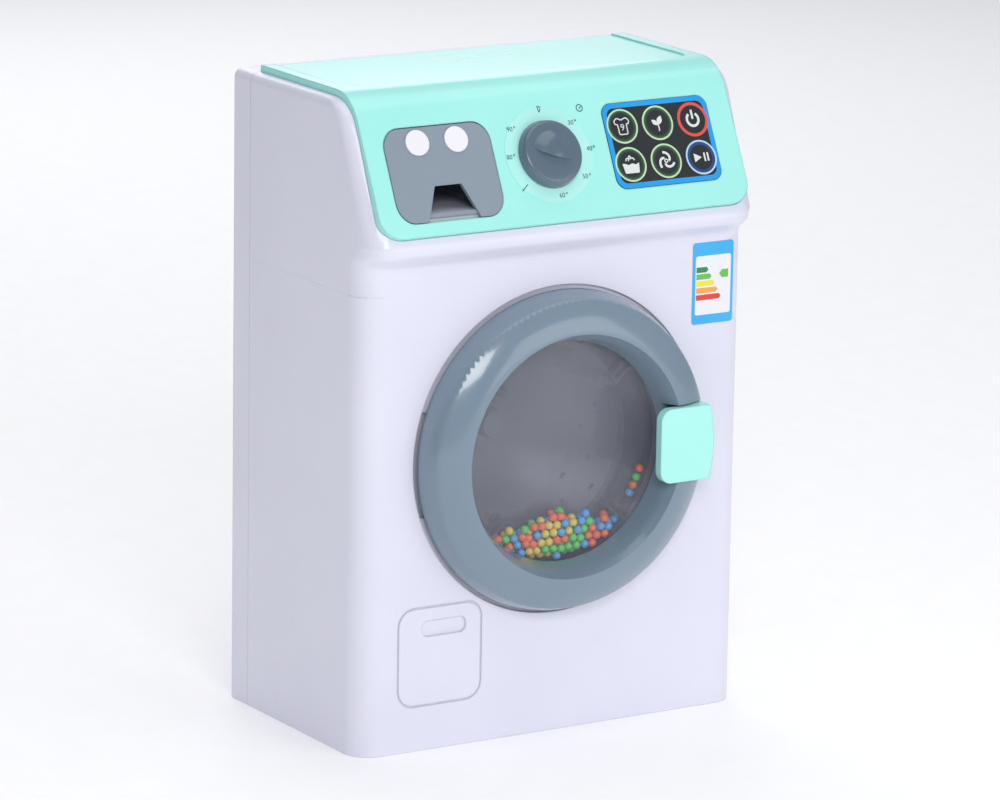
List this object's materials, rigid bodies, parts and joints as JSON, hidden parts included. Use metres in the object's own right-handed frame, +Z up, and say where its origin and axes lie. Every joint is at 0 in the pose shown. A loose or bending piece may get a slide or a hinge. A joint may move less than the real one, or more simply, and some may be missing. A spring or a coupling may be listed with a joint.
{
  "type": "toy_washing_machine",
  "caption": "Toy front-loading washing machine: white casing, mint slanted console with drawer, knob and touch pads, round bead door with lever handle, geared drum.",
  "frame": {"origin": "middle of the casing's flat underside, half way between the front panel and the back", "axes": "+Z up, the door faces -Y, +X to the right seen from the front"},
  "size_m": [0.194, 0.131, 0.284],
  "materials": {
    "white_abs": "moulded ABS, satin gloss",
    "mint_abs": "moulded ABS, satin gloss",
    "slate_abs": "moulded ABS, glossy",
    "dark_abs": "moulded ABS, glossy",
    "clear_styrene": "clear polystyrene",
    "bead_plastic": "round beads in four colours",
    "steel": "plated steel",
    "drum_coating": "vacuum-plated plastic",
    "gear_acetal": "natural acetal",
    "frame_styrene": "moulded high-impact polystyrene",
    "bronze_bush": "sintered bronze",
    "dial_vinyl": "clear printed vinyl",
    "touch_vinyl": "printed vinyl film",
    "circuit_board": "circuit board with parts",
    "led_epoxy": "cast epoxy",
    "disc_abs": "moulded ABS",
    "label_paper": "printed paper label",
    "cell_jacket": "plain cell jacket",
    "black_abs": "moulded ABS"
  },
  "bodies": {
    "casing": {"front_casing": "white_abs", "back_cover": "white_abs", "console_panel": "mint_abs", "drum_tub": "dark_abs", "door_hinge_pin": "steel", "drum_bush": "bronze_bush", "gear_plate": "frame_styrene", "reduction_axle": "steel", "motor": "steel", "motor_strap": "frame_styrene", "click_spring": "steel", "dial_film": "dial_vinyl", "touch_film": "touch_vinyl", "touch_board": "circuit_board", "pad_lights": "led_epoxy", "drawer_housing": "frame_styrene", "panel_sticker": "label_paper", "battery_box": "frame_styrene", "battery_cover": "white_abs", "cells_aa": "cell_jacket", "battery_contacts": "steel", "main_board": "circuit_board", "speaker": "black_abs", "power_switch": "black_abs", "door_switch": "black_abs", "casing_screws": "steel", "plate_screws": "steel", "board_screws": "steel", "battery_screw": "steel"},
    "door": {"door_ring": "slate_abs", "door_back_ring": "slate_abs", "door_window": "clear_styrene", "bead_bowl": "clear_styrene", "beads": "bead_plastic", "handle_pin": "steel", "handle_spring": "steel", "door_screws": "steel"},
    "handle": {"door_handle": "mint_abs"},
    "drum_turner": {"drum": "drum_coating", "drum_shaft": "steel", "drum_gear": "gear_acetal", "shaft_clip": "steel"},
    "reduction": {"reduction_gear": "gear_acetal"},
    "pinion": {"motor_pinion": "gear_acetal", "motor_shaft": "steel"},
    "dial": {"knob": "dark_abs", "click_wheel": "gear_acetal", "knob_screw": "steel"},
    "detergent_drawer": {"drawer": "slate_abs", "drawer_discs": "disc_abs"},
    "power_slider": {"switch_slider": "black_abs"},
    "door_button": {"door_switch_button": "gear_acetal"}
  },
  "joints": [
    {"name": "door_swing", "type": "hinge", "parent": "casing", "child": "door", "pos_m": [-0.0635, -0.061, 0.125], "axis": [0, 0, -1], "range_deg": [0, 90]},
    {"name": "handle_pull", "type": "hinge", "parent": "door", "child": "handle", "pos_m": [0.0622, -0.063, 0.125], "axis": [0, 0, 1], "range_deg": [0, 12], "stiffness_Nm_per_rad": 0.05, "springref_deg": -8.59},
    {"name": "drum_spin", "type": "hinge", "parent": "casing", "child": "drum_turner", "pos_m": [0.0007, 0, 0.125], "axis": [0, 1, 0], "continuous": true},
    {"name": "reduction_spin", "type": "hinge", "parent": "casing", "child": "reduction", "pos_m": [0.0007, 0, 0.088], "axis": [0, 1, 0], "continuous": true},
    {"name": "pinion_spin", "type": "hinge", "parent": "casing", "child": "pinion", "pos_m": [0.0007, 0, 0.061], "axis": [0, 1, 0], "continuous": true},
    {"name": "dial_turn", "type": "hinge", "parent": "casing", "child": "dial", "pos_m": [-0.004, -0.05094, 0.25288], "axis": [0, -0.8988, 0.4384], "continuous": true},
    {"name": "drawer_pull", "type": "slide", "parent": "casing", "child": "detergent_drawer", "axis": [0, -1, 0], "range_m": [0, 0.03]},
    {"name": "power_slide", "type": "slide", "parent": "casing", "child": "power_slider", "axis": [1, 0, 0], "range_m": [0, 0.004]},
    {"name": "door_button_push", "type": "slide", "parent": "casing", "child": "door_button", "axis": [0, 1, 0], "range_m": [0, 0.0012], "stiffness_N_per_m": 150, "springref_m": -0.002}
  ],
  "couplings": [
    {"joint": "reduction_spin", "follows": "drum_spin", "ratio": -4.2857},
    {"joint": "pinion_spin", "follows": "drum_spin", "ratio": 12.245}
  ]
}
